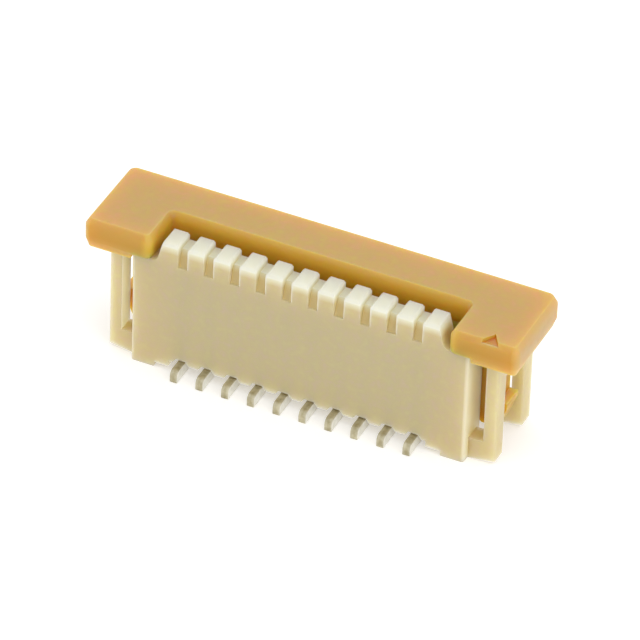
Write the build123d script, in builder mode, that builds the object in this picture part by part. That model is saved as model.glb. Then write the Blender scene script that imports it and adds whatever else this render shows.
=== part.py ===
from build123d import *

import os

# Vertical connector for a flat flexible cable, 10 circuits, with a sliding lock, shown closed.
# Millimetres. +Z is up, away from the circuit board, and the board is the plane Z = 0.
# X runs along the row of contacts, and the solder tails point to -Y, the front.
# The origin is on the board, at the centre of the whole outline seen from above.

os.makedirs("parts", exist_ok=True)

# Row and cable
pitch = 1.00
circuits = 10
cable_thickness = 0.30
cable_side_play = 0.05

# Housing, with depths measured back from its front face
housing_depth = 3.40
front_wall = 0.95
front_skin = 0.45
cable_slot_depth = 0.90
cable_slot_floor_z = 1.50
rear_top_z = 4.37
slot_end_wall = 0.37
shoulder_length = 0.52
shoulder_z = 4.62
shoulder_depth = 1.30
comb_web_rise = 0.61
tooth_rise = 0.27
tooth_gap = 0.37
tooth_chamfer = 0.07
comb_flare = 0.22
comb_root_radius = 0.32
comb_edge_radius = 0.15
corner_radius = 0.12
groove_z = 4.59
groove_depth = 0.36
groove_sill = 0.12

# Underside of the housing
belly_z = 0.43
foot_length = 0.90
step_length = 0.57
step_z = 0.20
rear_foot_depth = 0.90
tail_notch_z = 0.60
tail_notch_chamfer = 0.12

# Latch frame at each end of the housing
frame_setback = 0.36
post_depth = 0.70
post_width = 0.47
post_edge_radius = 0.08
leg_channel = 0.56
frame_web_z = 0.87
frame_slope = 0.14
bridge_width = 0.32
bridge_height = 0.80
bridge_drop = 0.07

# Contacts
contact_thickness = 0.30
contact_side_play = 0.04
base_height = 0.42
beam_root = 0.32
beam_tip = 0.20
beam_flex_room = 0.08
beam_top_z = 4.20
beam_top_play = 0.15
beam_bump = 0.17
bump_z = 3.85
bump_rise = 0.40
bump_flat = 0.10
anchor_width = 0.45
anchor_setback = 0.34
anchor_top_z = 3.20
anchor_play = 0.05
tail_reach = 0.55
tail_height = 0.47
tail_nose_radius = 0.22
tail_toe_radius = 0.10
tail_sole_end = 0.42
tail_heel = 0.20

# Slider
slider_thickness = 1.20
slider_end_reach = 0.84
slider_back_reach = 0.21
arm_reach = 0.12
arm_side_gap = 0.20
bar_play = 0.05
seat_gap = 0.03
shoulder_gap = 0.02
relief_play = 0.08
bevel_inset = 0.15
bevel_height = 0.26
lip_inset = 0.12
lip_height = 0.36
back_corner_radius = 0.40
front_corner_radius = 0.26
inner_corner_radius = 0.12
blade_length = 2.00
blade_lead = 0.25
blade_taper = 0.50
blade_tip = 0.16
blade_end_play = 0.05

# Latch legs of the slider
leg_width = 0.73
leg_depth = 0.97
leg_play = 0.08
bridge_play = 0.07
travel = 1.50
stop_gap = 0.05
hook_reach = 0.32
hook_height = 0.25
hook_taper = 0.85
leg_toe = 0.12

# Mark for circuit 1, a shallow triangle
mark_width = 0.64
mark_length = 0.50
mark_depth = 0.18
mark_inset = 1.09
mark_reach = 0.04

# Places that follow from the sizes
cable_width = (circuits + 1) * pitch
slot_half = cable_width / 2 + cable_side_play
body_half = slot_half + slot_end_wall
front_half = body_half + shoulder_length
frame_inner = front_half + leg_channel
frame_outer = frame_inner + post_width
comb_half = cable_width / 2
web_z = shoulder_z + comb_web_rise
tooth_z = web_z + tooth_rise
slot_rear = front_wall + cable_slot_depth
chamber_width = contact_thickness + 2 * contact_side_play
base_top_z = belly_z + base_height
beam_front = front_skin + beam_flex_room
chamber_top_z = beam_top_z + beam_top_play
anchor_front = slot_rear + anchor_setback
contact_rear = anchor_front + anchor_width
frame_top_z = rear_top_z - bridge_drop
bridge_z = frame_top_z - bridge_height
slider_z = rear_top_z + seat_gap
slider_top_z = slider_z + slider_thickness
slider_half = frame_outer + slider_end_reach
blade_back = slot_rear - bar_play
bar_front = blade_back - bevel_inset
slider_back = housing_depth + slider_back_reach
front_y = (tail_reach - slider_back) / 2
arm_inner = comb_half + arm_side_gap
relief_z = shoulder_z + shoulder_gap
relief_outer = front_half + relief_play
relief_rear = shoulder_depth + relief_play
leg_front = shoulder_depth + leg_play
leg_outer = frame_outer - bridge_width - bridge_play
leg_inner = leg_outer - leg_width
hook_top_z = bridge_z - travel - stop_gap
hook_bottom_z = hook_top_z - hook_height
leg_bottom_z = hook_bottom_z - hook_taper
bump_depth = front_wall + beam_bump
blade_front = bump_depth + cable_thickness
blade_z = slider_z - blade_length
rear_post = housing_depth - post_depth
rear_foot_place = housing_depth - rear_foot_depth / 2
mark_place = slider_half - mark_inset
contact_places = [(i - (circuits - 1) / 2) * pitch for i in range(circuits)]
ends = (-1, 1)
touch = 0.001


def on_front(edge):
    """True for an edge that lies in the front face of the housing."""
    return abs(edge.center().Y - front_y) < touch


def depth(y):
    """Y of a point that lies y behind the front face of the housing."""
    return front_y + y


def upright(y):
    """Plane that faces the front, y behind the front face of the housing, with X to the right and Z up."""
    return Plane.XZ.offset(-depth(y))


# Housing
with BuildPart() as housing:
    # Front wall, with its comb, shoulders and stepped feet
    with BuildSketch(upright(0)):
        with BuildLine():
            Polyline(
                (0, belly_z),
                (front_half - foot_length - step_length, belly_z),
                (front_half - foot_length - step_length, step_z),
                (front_half - foot_length, step_z),
                (front_half - foot_length, 0),
                (front_half, 0),
                (front_half, shoulder_z),
                (comb_half, shoulder_z),
                (comb_half - comb_flare, tooth_z),
                (0, tooth_z),
            )
            mirror(about=Plane.YZ)
        make_face()
        comb_roots = vertices().group_by(Axis.Y)[-2].sort_by(Axis.X)[1:-1]
        fillet(comb_roots, radius=comb_root_radius)
    extrude(amount=-front_wall)

    # Ends of the front wall, deeper, which close the cable slot and stop the legs
    for side in ends:
        with BuildSketch(Plane.XY):
            with Locations((side * (front_half + slot_half) / 2, depth(shoulder_depth / 2))):
                Rectangle(front_half - slot_half, shoulder_depth)
        extrude(amount=shoulder_z)

    # Body behind the front wall
    with BuildSketch(Plane.XY.offset(belly_z)):
        with Locations((0, depth((front_wall + housing_depth) / 2))):
            Rectangle(2 * body_half, housing_depth - front_wall)
    extrude(amount=rear_top_z - belly_z)

    # Rear feet
    for side in ends:
        with BuildSketch(Plane.XY):
            with Locations((side * (body_half - foot_length / 2), depth(rear_foot_place))):
                Rectangle(foot_length, rear_foot_depth)
        extrude(amount=belly_z)

    # Rounded front edges: the two upright corners, then the top of the comb
    upright_edges = edges().filter_by(Axis.Z).filter_by(on_front)
    fillet(upright_edges.filter_by(lambda edge: abs(edge.center().X) > front_half - touch), corner_radius)
    fillet(edges().filter_by(Axis.X).filter_by(on_front).sort_by(Axis.Z)[-1], comb_edge_radius)

    # Latch frames: two posts on webs, joined by a bridge over the hook of the slider's leg
    for side in ends:
        for place, root in ((frame_setback, front_half), (rear_post, body_half)):
            with BuildSketch(upright(place)):
                Polygon(
                    (side * (root - corner_radius), 0),
                    (side * front_half, 0),
                    (side * frame_outer, frame_slope),
                    (side * frame_outer, frame_top_z),
                    (side * frame_inner, frame_top_z),
                    (side * frame_inner, frame_web_z),
                    (side * (root - corner_radius), frame_web_z),
                    align=None,
                )
            extrude(amount=-post_depth)
        with BuildSketch(upright(frame_setback)):
            with Locations((side * (frame_outer - bridge_width / 2), frame_top_z - bridge_height / 2)):
                Rectangle(bridge_width, bridge_height)
        extrude(amount=-(housing_depth - frame_setback))
    outer_edges = edges().filter_by(Axis.Z).filter_by(lambda edge: abs(edge.center().X) > frame_outer - touch)
    fillet(outer_edges.filter_by(lambda edge: edge.length > bridge_height + touch), post_edge_radius)

    # Cable slot, open at the top
    with BuildSketch(Plane.XY.offset(cable_slot_floor_z)):
        with Locations((0, depth((front_wall + slot_rear) / 2))):
            Rectangle(2 * slot_half, cable_slot_depth)
    extrude(amount=tooth_z, mode=Mode.SUBTRACT)

    # Gaps of the comb, one over each contact, wider at the top
    with BuildSketch(upright(0)):
        with Locations(*[(x, web_z) for x in contact_places]):
            Polygon(
                (-tooth_gap / 2, 0),
                (tooth_gap / 2, 0),
                (tooth_gap / 2, tooth_rise - tooth_chamfer),
                (tooth_gap / 2 + tooth_chamfer, tooth_rise),
                (-tooth_gap / 2 - tooth_chamfer, tooth_rise),
                (-tooth_gap / 2, tooth_rise - tooth_chamfer),
                align=None,
            )
    extrude(amount=-front_wall, mode=Mode.SUBTRACT)

    # Grooves down the front face, which deepen towards the gaps of the comb
    for x in contact_places:
        with BuildSketch(Plane.YZ.offset(x)):
            Polygon(
                (depth(0), groove_z),
                (depth(groove_sill), groove_z),
                (depth(groove_depth), web_z),
                (depth(groove_depth), tooth_z),
                (depth(0), tooth_z),
                align=None,
            )
        extrude(amount=tooth_gap / 2, both=True, mode=Mode.SUBTRACT)

    # Notches in the lower edge, over the tails
    with BuildSketch(upright(0)):
        with Locations(*[(x, belly_z) for x in contact_places]):
            Polygon(
                (-chamber_width / 2 - tail_notch_chamfer, 0),
                (chamber_width / 2 + tail_notch_chamfer, 0),
                (chamber_width / 2, tail_notch_z - belly_z),
                (-chamber_width / 2, tail_notch_z - belly_z),
                align=None,
            )
    extrude(amount=-front_skin, mode=Mode.SUBTRACT)

    # Chambers for the contacts, open below and into the cable slot
    for x in contact_places:
        with BuildSketch(Plane.YZ.offset(x)):
            Polygon(
                (depth(front_skin), 0),
                (depth(contact_rear + anchor_play), 0),
                (depth(contact_rear + anchor_play), anchor_top_z + anchor_play),
                (depth(anchor_front - anchor_play), anchor_top_z + anchor_play),
                (depth(anchor_front - anchor_play), base_top_z),
                (depth(front_wall), base_top_z),
                (depth(front_wall), chamber_top_z),
                (depth(front_skin), chamber_top_z),
                align=None,
            )
        extrude(amount=chamber_width / 2, both=True, mode=Mode.SUBTRACT)
housing.part.label = "housing"
export_step(housing.part, "parts/housing.step")

# Contacts, blanked from flat strip, one in each chamber
for number, x in enumerate(contact_places, start=1):
    with BuildPart() as contact:
        with BuildSketch(Plane.YZ.offset(x)):
            Polygon(
                (depth(-tail_reach), 0),
                (depth(tail_sole_end), 0),
                (depth(tail_sole_end + tail_heel), belly_z),
                (depth(contact_rear), belly_z),
                (depth(contact_rear), anchor_top_z),
                (depth(anchor_front), anchor_top_z),
                (depth(anchor_front), base_top_z),
                (depth(beam_front + beam_root), base_top_z),
                (depth(beam_front + beam_tip), bump_z - bump_rise),
                (depth(bump_depth), bump_z - bump_flat / 2),
                (depth(bump_depth), bump_z + bump_flat / 2),
                (depth(beam_front + beam_tip / 2), beam_top_z),
                (depth(beam_front), beam_top_z),
                (depth(beam_front), tail_height),
                (depth(-tail_reach), tail_height),
                align=None,
            )
            front_corners = vertices().group_by(Axis.X)[0].sort_by(Axis.Y)
            fillet(front_corners[-1], radius=tail_nose_radius)
            fillet(front_corners[0], radius=tail_toe_radius)
        extrude(amount=contact_thickness / 2, both=True)
    contact.part.label = f"contact_{number:02d}"
    export_step(contact.part, f"parts/{contact.part.label}.step")

# Slider
with BuildPart() as slider:
    # Plate, a bar behind the cable and the comb with an arm at each end, bevelled all round, above and below
    with BuildSketch(Plane.XY.offset(slider_z)):
        with Locations((0, depth((slider_back - arm_reach) / 2))):
            Rectangle(2 * slider_half, slider_back + arm_reach)
        with Locations((0, depth((bar_front - arm_reach) / 2))):
            Rectangle(2 * arm_inner, bar_front + arm_reach, mode=Mode.SUBTRACT)
        fillet(vertices().group_by(Axis.Y)[1], radius=inner_corner_radius)
        fillet(vertices().group_by(Axis.Y)[-1], radius=back_corner_radius)
        fillet(vertices().group_by(Axis.Y)[0], radius=front_corner_radius)
    extrude(amount=slider_thickness)
    top = faces().sort_by(Axis.Z)[-1]
    chamfer(top.edges(), length=bevel_inset, length2=bevel_height, reference=top)
    underside = faces().sort_by(Axis.Z)[0]
    chamfer(underside.edges(), length=lip_inset, length2=lip_height, reference=underside)

    # Reliefs that sit over the shoulders of the housing
    for side in ends:
        with BuildSketch(Plane.XY.offset(slider_z)):
            with Locations((side * (comb_half + relief_outer) / 2, depth((relief_rear - arm_reach) / 2))):
                Rectangle(relief_outer - comb_half, relief_rear + arm_reach)
        extrude(amount=relief_z - slider_z, mode=Mode.SUBTRACT)

    # Blade that presses the cable on the contacts, with a wedge tip and a sloped lead in
    with BuildSketch(Plane.YZ):
        Polygon(
            (depth(blade_back), blade_z),
            (depth(blade_back), slider_z + lip_height),
            (depth(bar_front + lip_inset), slider_z + lip_height),
            (depth(blade_front), slider_z - blade_lead),
            (depth(blade_front), blade_z + blade_taper),
            (depth(blade_back - blade_tip), blade_z),
            align=None,
        )
    extrude(amount=slot_half - blade_end_play, both=True)

    # Legs with latch hooks, down between the posts of the housing
    for side in ends:
        with BuildSketch(upright(leg_front)):
            Polygon(
                (side * leg_inner, slider_top_z - slider_thickness / 2),
                (side * leg_inner, leg_bottom_z + leg_toe),
                (side * (leg_inner + leg_toe), leg_bottom_z),
                (side * leg_outer, leg_bottom_z),
                (side * (leg_outer + hook_reach), hook_bottom_z),
                (side * (leg_outer + hook_reach), hook_top_z),
                (side * leg_outer, hook_top_z),
                (side * leg_outer, slider_top_z - slider_thickness / 2),
                align=None,
            )
        extrude(amount=-leg_depth)

    # Mark for circuit 1, on the arm at its end of the row
    with BuildSketch(Plane.XY.offset(slider_top_z)):
        Polygon(
            (mark_place - mark_width / 2, depth(-mark_reach)),
            (mark_place + mark_width / 2, depth(-mark_reach)),
            (mark_place, depth(mark_length - mark_reach)),
            align=None,
        )
    extrude(amount=-mark_depth, mode=Mode.SUBTRACT)
slider.part.label = "slider"
export_step(slider.part, "parts/slider.step")
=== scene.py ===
from math import cos, radians, sin

import bpy
from mathutils import Matrix, Vector

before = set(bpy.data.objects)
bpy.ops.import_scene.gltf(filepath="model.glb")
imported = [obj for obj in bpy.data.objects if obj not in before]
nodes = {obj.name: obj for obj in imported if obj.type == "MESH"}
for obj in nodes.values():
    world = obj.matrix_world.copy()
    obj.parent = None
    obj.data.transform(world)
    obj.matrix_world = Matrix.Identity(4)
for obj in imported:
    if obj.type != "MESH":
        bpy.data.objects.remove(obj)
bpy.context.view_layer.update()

scene = bpy.context.scene
contacts = [nodes[name] for name in sorted(nodes) if name.startswith("contact")]
MM = 0.001

# Camera, at the viewing angle of the photograph
AZIMUTH = 23.903
ELEVATION = 37.214
ROLL = 2.129
FOCAL_LENGTH = 420.76
SENSOR_WIDTH = 36.0
DISTANCE = 261.896 * MM
ASIDE = 0.861 * MM
ABOVE = 3.245 * MM
CLIP_START = 10 * MM
FRONT_FACE = Vector((0, -1.53, -0.10)) * MM

# Lamps and the sky
KEY_WAY = Vector((0.80, -0.30, 0.85))
KEY_SIZE = 150 * MM
KEY_POWER = 0.065
FILL_WAY = Vector((-0.75, -0.65, 0.50))
FILL_SIZE = 200 * MM
FILL_POWER = 0.02
LAMP_DISTANCE = 200 * MM
SKY_STRENGTH = 0.88
SKY_SEEN = 1.0

# Floor, which glows a little so that the shadow on it is weak
WHITE = (1, 1, 1, 1)
BLACK = (0, 0, 0, 1)
FLOOR_SIZE = 1.2
FLOOR_COLOUR = (0.88, 0.88, 0.88, 1)
FLOOR_GLOW = 0.34
FLOOR_ROUGHNESS = 0.9
PAPER_SIZE = 2 * MM
PAPER_SHADES = 0.97, 1.0

# Rounding of the moulded and stamped edges
WELD_DISTANCE = 0.001 * MM
FLAT_ANGLE = radians(0.5)
EDGE_ANGLE = radians(35)
EDGE_SEGMENTS = 2
FACE_WEIGHT = 80
HOUSING_EDGE = 0.035 * MM
SLIDER_EDGE = 0.045 * MM
CONTACT_EDGE = 0.025 * MM

# Noise: its detail and roughness, the range where it varies, and the ways of a fade
PLAIN_NOISE = 3.0, 0.5
CLOUD_NOISE = 4.0, 0.55
STAIN_NOISE = 4.0, 0.6
NOISE_RANGE = 0.3, 0.7
RISING = 0.0, 1.0
FALLING = 1.0, 0.0

# Both plastics: size of their clouds, satin and grain, and places of their warm, pale and plain colours
PLASTIC_IOR = 1.50
LIGHT_DEPTH = 2.2 * MM
CLOUD_SIZE = 0.30 * MM
CLOUD_STOPS = 0.30, 0.70, 0.50
SATIN_SIZE = 0.35 * MM
GRAIN_SIZE = 0.06 * MM
GRAIN_STRENGTH = 0.10
GRAIN_DEPTH = 0.004 * MM

# Housing: warm, pale and plain ivory, and the colours and places of the painted light on its comb tops,
# recessed walls and grooves
HOUSING_COLOURS = (0.56, 0.435, 0.28, 1), (0.56, 0.475, 0.24, 1), (0.545, 0.445, 0.24, 1)
HOUSING_RADII = (1.0, 0.9, 0.7)
HOUSING_ROUGHNESS = 0.42, 0.56
# painted light: the comb is paler towards its top and on its upward faces
COMB_PAINTED_LIGHT = (0.76, 0.75, 0.57, 1)
COMB_LIGHT_HEIGHT = 5.1 * MM, 5.5 * MM
COMB_TOP_LIGHT_LIFT = 0.3 * MM
# painted light on the side-facing walls beside the frames, against their shade
RECESS_PAINTED_LIGHT = (0.87, 0.75, 0.50, 1)
RECESS_START = 5.70 * MM, 5.85 * MM
RECESS_END = 7.10 * MM, 7.30 * MM
# painted light on the front faces of the comb row, in its grooves, against their shade
GROOVE_PAINTED_LIGHT = (0.66, 0.53, 0.27, 1)
GROOVE_START = -1.50 * MM, -1.40 * MM
GROOVE_ROW = 5.40 * MM, 5.60 * MM
GROOVE_FACING = -0.6, -0.2

# Slider: warm, pale and plain amber, and the colours and places of the painted shade on its upright faces
# and the painted light on its inner and end faces
SLIDER_COLOURS = (0.61, 0.37, 0.15, 1), (0.58, 0.42, 0.11, 1), (0.58, 0.385, 0.12, 1)
SLIDER_RADII = (1.0, 0.45, 0.12)
SLIDER_ROUGHNESS = 0.36, 0.50
# painted shade: the upright faces darker and deeper in colour than the tops
SIDE_PAINTED_SHADE = (0.48, 0.275, 0.015, 1)
SIDE_SLOPE = 0.0, 0.9
# painted light on the upright faces between the arms, against their shade
INNER_PAINTED_LIGHT = (0.66, 0.415, 0.03, 1)
INNER_ENDS = 5.65 * MM, 6.10 * MM
INNER_DEPTH = 1.20 * MM, 1.60 * MM
# painted sheen: the upright end faces paler
END_PAINTED_SHEEN = (0.48, 0.345, 0.13, 1)
END_START = 7.80 * MM, 8.15 * MM

# Contacts: dark and light colours of the cut edges and of the flat faces, and size of stains and dents
TIN_METALLIC = 0.5
TIN_ROUGHNESS = 0.38, 0.58
TIN_SIZE = 0.12 * MM
STAIN_SIZE = 0.25 * MM
STAIN_STOPS = 0.35, 0.65
EDGE_COLOURS = (0.36, 0.31, 0.17, 1), (0.55, 0.50, 0.33, 1)
FACE_COLOURS = (0.78, 0.77, 0.69, 1), (0.90, 0.89, 0.84, 1)
DENT_SIZE = 0.05 * MM
DENT_STRENGTH = 0.15
DENT_DEPTH = 0.005 * MM

# Sockets of a node that mixes two colours
MIX_FACTOR, MIX_FIRST, MIX_SECOND, MIX_RESULT = 0, 6, 7, 2


def aim(thing, place, right, up, back):
    """Puts a thing at a place, looking against back."""
    turn = Matrix((right, up, back)).transposed().to_4x4()
    thing.matrix_world = Matrix.Translation(place) @ turn


def make_camera():
    """The camera of the photograph, from its azimuth, elevation, roll, distance and lens."""
    azimuth, elevation, roll = radians(AZIMUTH), radians(ELEVATION), radians(ROLL)
    tops_without_painted_shade = Vector((cos(azimuth), sin(azimuth), 0))
    back = Vector((sin(azimuth) * cos(elevation), -cos(azimuth) * cos(elevation), sin(elevation)))
    rise = back.cross(tops_without_painted_shade)
    right = cos(roll) * tops_without_painted_shade + sin(roll) * rise
    up = cos(roll) * rise - sin(roll) * tops_without_painted_shade
    data = bpy.data.cameras.new("camera")
    data.sensor_width = SENSOR_WIDTH
    data.lens = FOCAL_LENGTH
    data.clip_start = CLIP_START
    camera = bpy.data.objects.new("camera", data)
    scene.collection.objects.link(camera)
    aim(camera, FRONT_FACE + ASIDE * right + ABOVE * up + DISTANCE * back, right, up, back)
    scene.camera = camera


def make_lamp(name, way, size, power):
    """A square softbox that looks at the object from a direction."""
    data = bpy.data.lights.new(name, "AREA")
    data.size = size
    data.energy = power
    lamp = bpy.data.objects.new(name, data)
    scene.collection.objects.link(lamp)
    back = way.normalized()
    right = Vector((0, 0, 1)).cross(back).normalized()
    aim(lamp, back * LAMP_DISTANCE, right, back.cross(right), back)


def add(tree, kind, **values):
    """A new node, with its settings and the values of its sockets."""
    node = tree.nodes.new("ShaderNode" + kind)
    for name, value in values.items():
        socket = node.inputs.get(name.replace("_", " "))
        if socket:
            socket.default_value = value
        else:
            setattr(node, name, value)
    return node


def shader_of(name, **values):
    """A new material with one Principled shader: the material, its tree and its shader."""
    material = bpy.data.materials.new(name)
    material.use_nodes = True
    tree = material.node_tree
    shader = tree.nodes["Principled BSDF"]
    for label, value in values.items():
        shader.inputs[label.replace("_", " ")].default_value = value
    return material, tree, shader


def where(tree, name):
    """A texture coordinate, such as the place in the object or the normal."""
    return add(tree, "TexCoord").outputs[name]


def split(tree, vector):
    """The X, Y and Z of a vector."""
    node = add(tree, "SeparateXYZ")
    tree.links.new(vector, node.inputs[0])
    return node.outputs["X"], node.outputs["Y"], node.outputs["Z"]


def calculate(tree, operation, *values):
    """The result of one operation on values, each of them a socket or a number."""
    node = add(tree, "Math", operation=operation)
    for index, value in enumerate(values):
        put(tree, value, node.inputs[index])
    return node.outputs[0]


def put(tree, value, socket):
    """Links a socket to another one, or gives it a plain value."""
    if isinstance(value, bpy.types.NodeSocket):
        tree.links.new(value, socket)
    else:
        socket.default_value = value


def fade(tree, value, ends, levels):
    """A factor that goes from one level to another where a value goes from one end to the other."""
    node = add(tree, "MapRange", From_Min=ends[0], From_Max=ends[1], To_Min=levels[0], To_Max=levels[1])
    tree.links.new(value, node.inputs["Value"])
    return node.outputs["Result"]


def blend(tree, factor, first, second):
    """Two colours mixed by a factor."""
    node = add(tree, "Mix", data_type="RGBA")
    put(tree, factor, node.inputs[MIX_FACTOR])
    put(tree, first, node.inputs[MIX_FIRST])
    put(tree, second, node.inputs[MIX_SECOND])
    return node.outputs[MIX_RESULT]


def noise(tree, place, size, kind=PLAIN_NOISE):
    """Noise with features of a size, in metres."""
    detail, roughness = kind
    texture = add(tree, "TexNoise", Scale=1 / size, Detail=detail, Roughness=roughness)
    tree.links.new(place, texture.inputs["Vector"])
    return texture.outputs["Fac"]


def ramp(tree, factor, positions, colours):
    """A colour ramp over a factor, from its positions and their colours."""
    node = add(tree, "ValToRGB")
    tree.links.new(factor, node.inputs["Fac"])
    marks = node.color_ramp.elements
    for index, (position, colour) in enumerate(zip(positions, colours)):
        mark = marks[index] if index < 2 else marks.new(position)
        mark.position = position
        mark.color = colour
    return node.outputs["Color"]


def finish(tree, shader, place, size, levels):
    """Roughness that varies between two levels over patches of a size."""
    patches = fade(tree, noise(tree, place, size), NOISE_RANGE, levels)
    tree.links.new(patches, shader.inputs["Roughness"])


def relief(tree, shader, place, size, strength, depth):
    """Faint bumps of a size, strength and depth."""
    bump = add(tree, "Bump", Strength=strength, Distance=depth)
    tree.links.new(noise(tree, place, size), bump.inputs["Height"])
    tree.links.new(bump.outputs["Normal"], shader.inputs["Normal"])


def moulded(name, radii, colours, roughness):
    """A moulded plastic that lets light in, with a satin finish, a faint grain and a cloudy colour."""
    material, tree, shader = shader_of(
        name, Subsurface_Weight=1.0, Subsurface_Scale=LIGHT_DEPTH, Subsurface_Radius=radii, IOR=PLASTIC_IOR)
    place = where(tree, "Object")
    finish(tree, shader, place, SATIN_SIZE, roughness)
    relief(tree, shader, place, GRAIN_SIZE, GRAIN_STRENGTH, GRAIN_DEPTH)
    cloudy = ramp(tree, noise(tree, place, CLOUD_SIZE, CLOUD_NOISE), CLOUD_STOPS, colours)
    return material, tree, shader, place, cloudy


def housing_plastic():
    """Ivory plastic, with painted light on the tops of the thin comb, and in the recesses and grooves
    against their shade.
    """
    material, tree, shader, place, ivory = moulded(
        "housing_plastic", HOUSING_RADII, HOUSING_COLOURS, HOUSING_ROUGHNESS)
    along, depth, height = split(tree, place)
    normal_x, normal_y, normal_z = split(tree, where(tree, "Normal"))
    aside = calculate(tree, "ABSOLUTE", along)
    across = calculate(tree, "ABSOLUTE", normal_x)

    # painted light on the side-facing walls beside the frames, against their shade
    started = fade(tree, aside, RECESS_START, RISING)
    ended = fade(tree, aside, RECESS_END, FALLING)
    in_frame = calculate(tree, "MULTIPLY", started, ended)
    painted_recess_light = calculate(tree, "MULTIPLY", across, in_frame)
    walls_with_painted_light = blend(tree, painted_recess_light, ivory, RECESS_PAINTED_LIGHT)

    # painted light on the front faces of the comb row, in its grooves, against their shade
    sunk = fade(tree, depth, GROOVE_START, RISING)
    in_row = fade(tree, aside, GROOVE_ROW, FALLING)
    facing = fade(tree, normal_y, GROOVE_FACING, FALLING)
    painted_groove_light = calculate(tree, "MULTIPLY", calculate(tree, "MULTIPLY", sunk, in_row), facing)
    grooves_with_painted_light = blend(tree, painted_groove_light, walls_with_painted_light, GROOVE_PAINTED_LIGHT)

    # painted light: paler comb tops, raised further on upward faces by the normal's z
    top_light_height = calculate(tree, "MULTIPLY_ADD", normal_z, COMB_TOP_LIGHT_LIFT, height)
    comb_painted_light = fade(tree, top_light_height, COMB_LIGHT_HEIGHT, RISING)
    tree.links.new(blend(tree, comb_painted_light, grooves_with_painted_light, COMB_PAINTED_LIGHT), shader.inputs["Base Color"])
    return material


def slider_plastic():
    """Amber plastic, with painted shade on its upright faces, and painted light at its ends and between its
    arms.
    """
    material, tree, shader, place, amber = moulded(
        "slider_plastic", SLIDER_RADII, SLIDER_COLOURS, SLIDER_ROUGHNESS)
    along, depth, _ = split(tree, place)
    normal_x, _, normal_z = split(tree, where(tree, "Normal"))
    aside = calculate(tree, "ABSOLUTE", along)
    across = calculate(tree, "ABSOLUTE", normal_x)
    upward = calculate(tree, "ABSOLUTE", normal_z)

    # painted light on the upright faces between the arms, against their shade
    between_arms = fade(tree, aside, INNER_ENDS, FALLING)
    before_back = fade(tree, depth, INNER_DEPTH, FALLING)
    painted_inner_light = calculate(tree, "MULTIPLY", between_arms, before_back)
    upright_painted_light_and_shade = blend(tree, painted_inner_light, SIDE_PAINTED_SHADE, INNER_PAINTED_LIGHT)

    # painted sheen: the upright end faces paler
    outer = fade(tree, aside, END_START, RISING)
    painted_end_sheen = calculate(tree, "MULTIPLY", across, outer)
    upright_painted_light_and_shade = blend(tree, painted_end_sheen, upright_painted_light_and_shade, END_PAINTED_SHEEN)

    # painted shade and light on the upright faces; the tops keep the plain amber
    tops_without_painted_shade = fade(tree, upward, SIDE_SLOPE, RISING)
    tree.links.new(blend(tree, tops_without_painted_shade, upright_painted_light_and_shade, amber), shader.inputs["Base Color"])
    return material


def contact_metal():
    """Tin plating, bright on the flat faces of the strip and duller and yellower on its cut edges."""
    material, tree, shader = shader_of("contact_metal", Metallic=TIN_METALLIC)
    place = where(tree, "Object")
    normal_x, _, _ = split(tree, where(tree, "Normal"))
    flat = calculate(tree, "ABSOLUTE", normal_x)
    stain = noise(tree, place, STAIN_SIZE, STAIN_NOISE)
    edge_colour = ramp(tree, stain, STAIN_STOPS, EDGE_COLOURS)
    face_colour = ramp(tree, stain, STAIN_STOPS, FACE_COLOURS)
    tree.links.new(blend(tree, flat, edge_colour, face_colour), shader.inputs["Base Color"])
    finish(tree, shader, place, TIN_SIZE, TIN_ROUGHNESS)
    relief(tree, shader, place, DENT_SIZE, DENT_STRENGTH, DENT_DEPTH)
    return material


def make_world():
    """A plain white sky, brighter where it is seen or mirrored."""
    world = bpy.data.worlds.new("world")
    scene.world = world
    world.use_nodes = True
    tree = world.node_tree
    path = add(tree, "LightPath")
    seen = calculate(tree, "MAXIMUM", path.outputs["Is Camera Ray"], path.outputs["Is Glossy Ray"])
    background = tree.nodes["Background"]
    background.inputs["Color"].default_value = WHITE
    strength = fade(tree, seen, RISING, (SKY_STRENGTH, SKY_SEEN))
    tree.links.new(strength, background.inputs["Strength"])


def make_floor():
    """A plain pale floor that keeps the shadow, and looks white beside it."""
    bpy.ops.mesh.primitive_plane_add(size=FLOOR_SIZE)
    floor = bpy.context.object
    floor.name = "floor"
    material, tree, shader = shader_of(
        "floor_paper", Roughness=FLOOR_ROUGHNESS, Emission_Color=WHITE, Emission_Strength=FLOOR_GLOW)
    shade = fade(tree, noise(tree, where(tree, "Object"), PAPER_SIZE), NOISE_RANGE, PAPER_SHADES)
    tree.links.new(blend(tree, shade, BLACK, FLOOR_COLOUR), shader.inputs["Base Color"])
    floor.data.materials.append(material)


def finish_node(thing, material, width):
    """Gives a CAD node its material and rounds its edges."""
    thing.data.materials.clear()
    thing.data.materials.append(material)
    weld = thing.modifiers.new("weld", "WELD")
    weld.merge_threshold = WELD_DISTANCE
    flat = thing.modifiers.new("flat", "DECIMATE")
    flat.decimate_type = "DISSOLVE"
    flat.angle_limit = FLAT_ANGLE
    edge = thing.modifiers.new("edge", "BEVEL")
    edge.width = width
    edge.segments = EDGE_SEGMENTS
    edge.limit_method = "ANGLE"
    edge.angle_limit = EDGE_ANGLE
    edge.use_clamp_overlap = True
    even = thing.modifiers.new("even", "WEIGHTED_NORMAL")
    even.weight = FACE_WEIGHT


make_camera()
make_world()
make_floor()
make_lamp("key", KEY_WAY, KEY_SIZE, KEY_POWER)
make_lamp("fill", FILL_WAY, FILL_SIZE, FILL_POWER)
finish_node(nodes["housing"], housing_plastic(), HOUSING_EDGE)
finish_node(nodes["slider"], slider_plastic(), SLIDER_EDGE)
tin = contact_metal()
for contact in contacts:
    finish_node(contact, tin, CONTACT_EDGE)

scene.view_settings.view_transform = "Standard"
